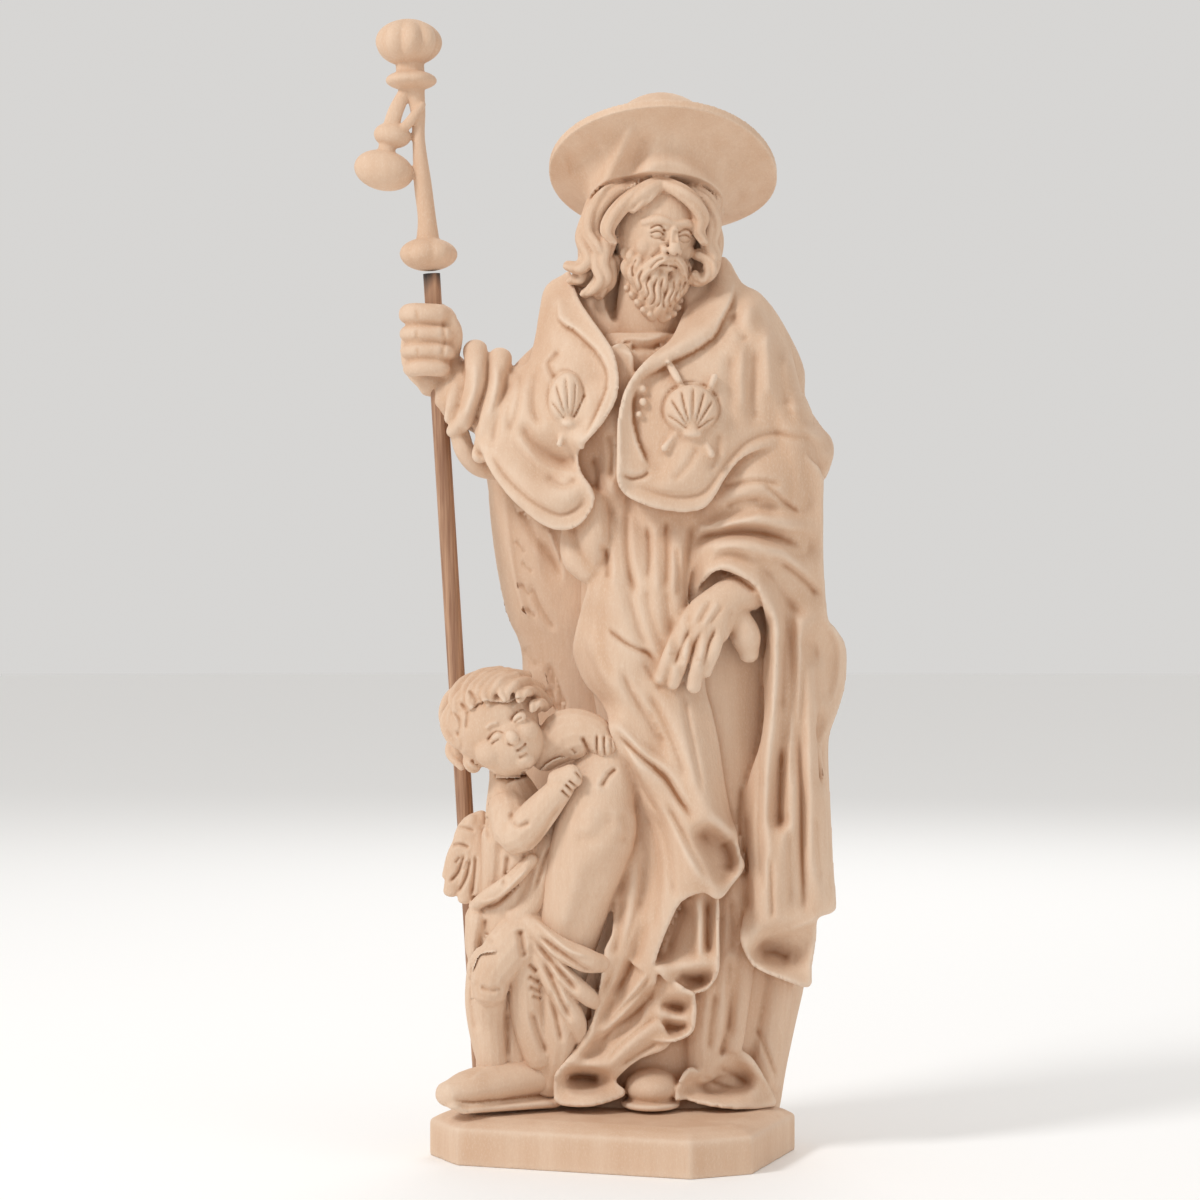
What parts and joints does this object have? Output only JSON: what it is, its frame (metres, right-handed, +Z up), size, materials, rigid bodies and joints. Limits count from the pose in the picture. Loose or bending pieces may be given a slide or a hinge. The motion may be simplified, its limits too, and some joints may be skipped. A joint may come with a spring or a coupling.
{
  "type": "carved figure statue",
  "caption": "Carved wooden pilgrim saint in hat and cape, leaning on a tall staff, with a kneeling child angel at the knee, on a low plinth with cut corners.",
  "frame": {"origin": "middle of the plinth's flat underside", "axes": "+Z up; the plinth's long front faces -Y, and +X runs to the right along it"},
  "size_m": [0.1321, 0.0812, 0.3186],
  "materials": {
    "carved_wood": "bare pale carving wood, fine straight grain, matt, left from the chisel",
    "dowel_wood": "darker brown round dowel, straight grain, matt"
  },
  "bodies": {
    "root": {"figure": "carved_wood", "staff_rod": "dowel_wood", "staff_head": "carved_wood"}
  },
  "joints": []
}
